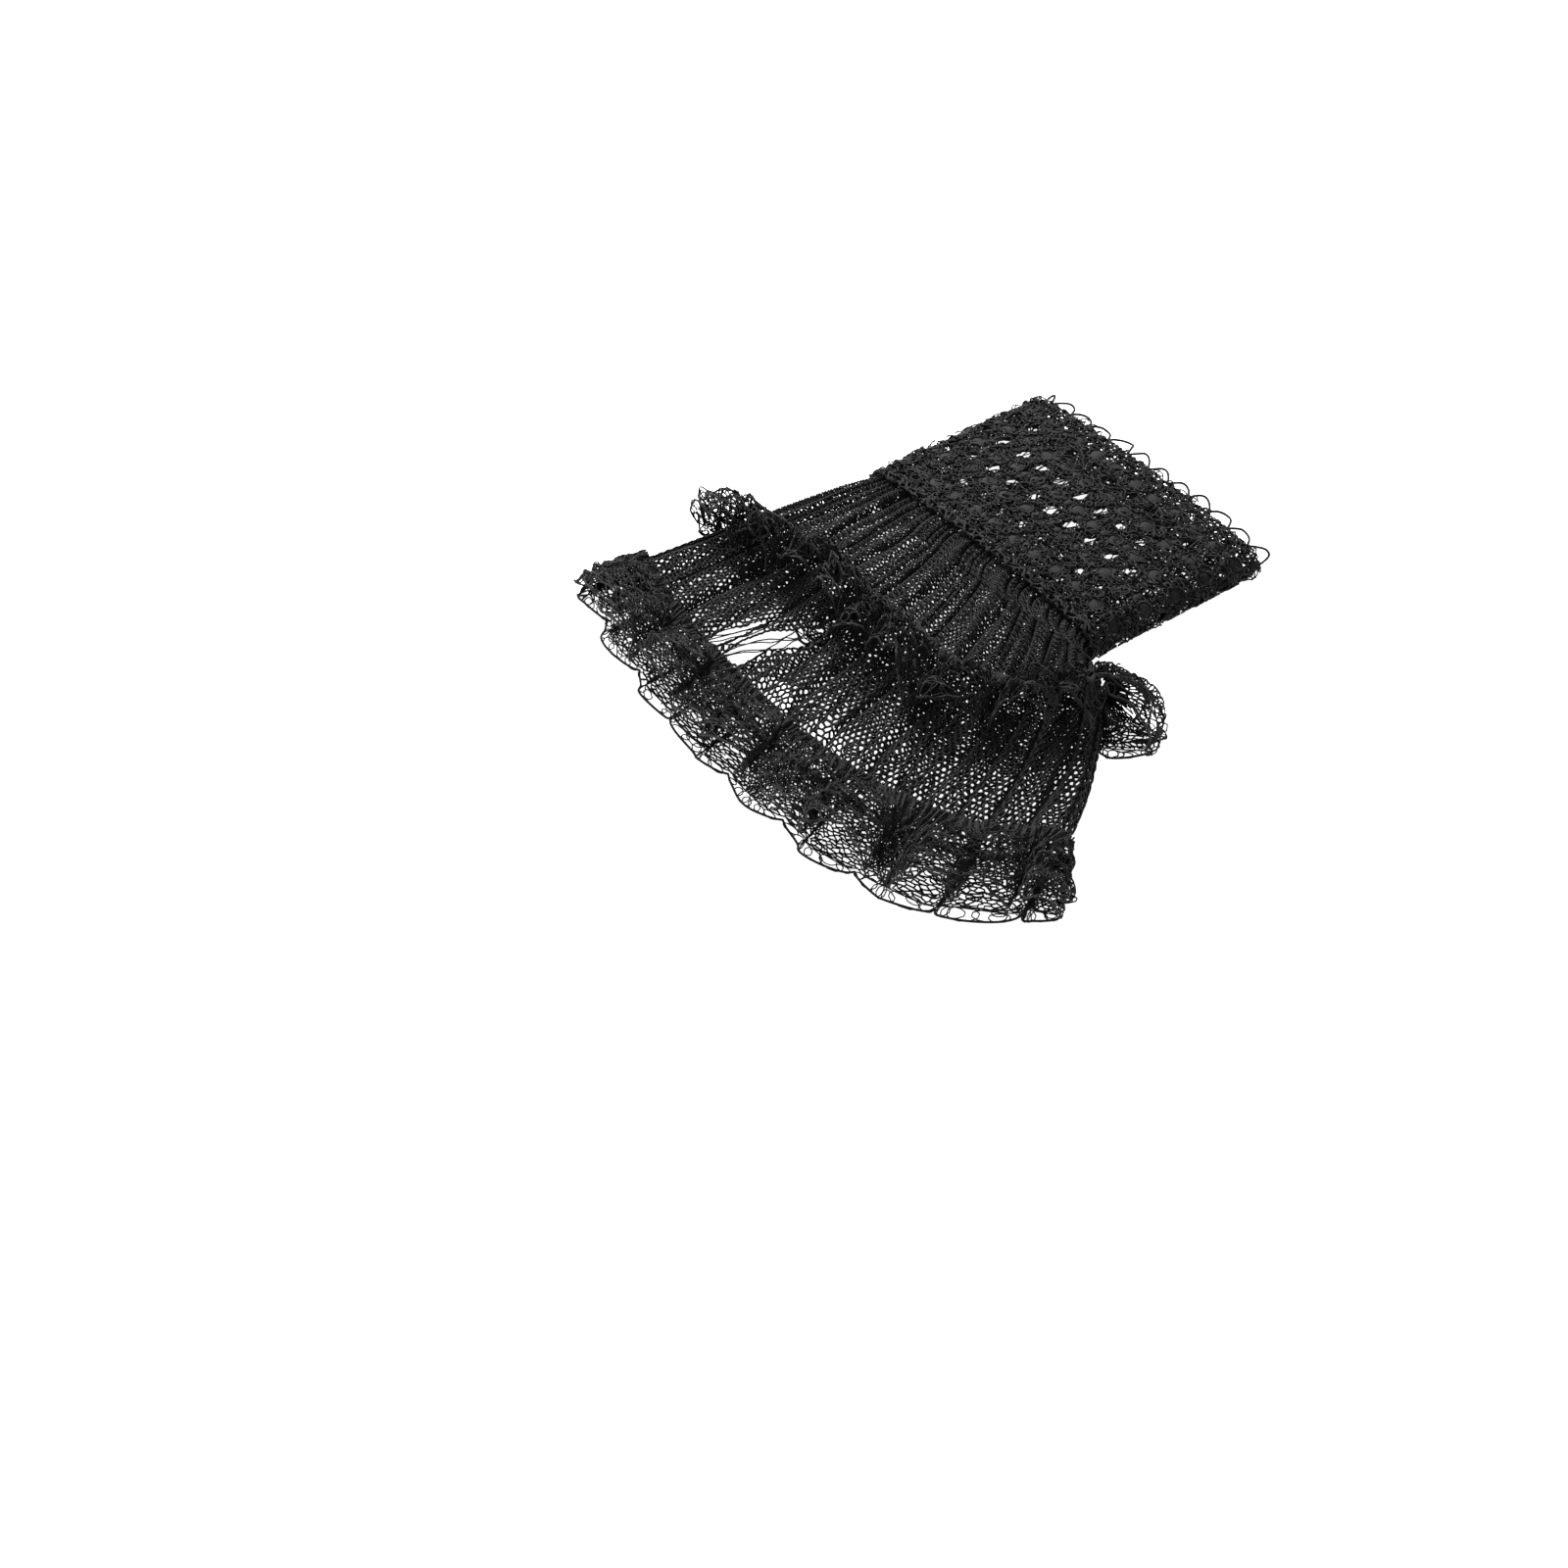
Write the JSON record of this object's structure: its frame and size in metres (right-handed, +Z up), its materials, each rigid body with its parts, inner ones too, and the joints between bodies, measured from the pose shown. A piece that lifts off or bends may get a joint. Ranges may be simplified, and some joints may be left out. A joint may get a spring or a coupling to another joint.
{
  "type": "lace cuff",
  "caption": "Black lace cuff with an elastic flower-openwork wrist band, a pleated net sleeve and two gathered scalloped lace ruffles, lying flat.",
  "frame": {"origin": "middle of the underside of the whole cuff, on the surface that it lies on", "axes": "+Z up from the surface, +Y from the hem towards the wrist opening, +X across the cuff towards its wider fold"},
  "size_m": [0.1768, 0.1738, 0.0227],
  "materials": {
    "band_yarn": "matte textured yarn with a soft sheen",
    "edge_cord": "matte twisted cord",
    "net": "matte ribbed net",
    "ruffle_lace": "matte lace net with cord outlines"
  },
  "bodies": {
    "root": {"wrist_band": "band_yarn", "wrist_edge_cord": "edge_cord", "band_edge_cord": "edge_cord", "net_sleeve": "net", "upper_ruffle": "ruffle_lace", "lower_ruffle": "ruffle_lace"}
  },
  "joints": []
}
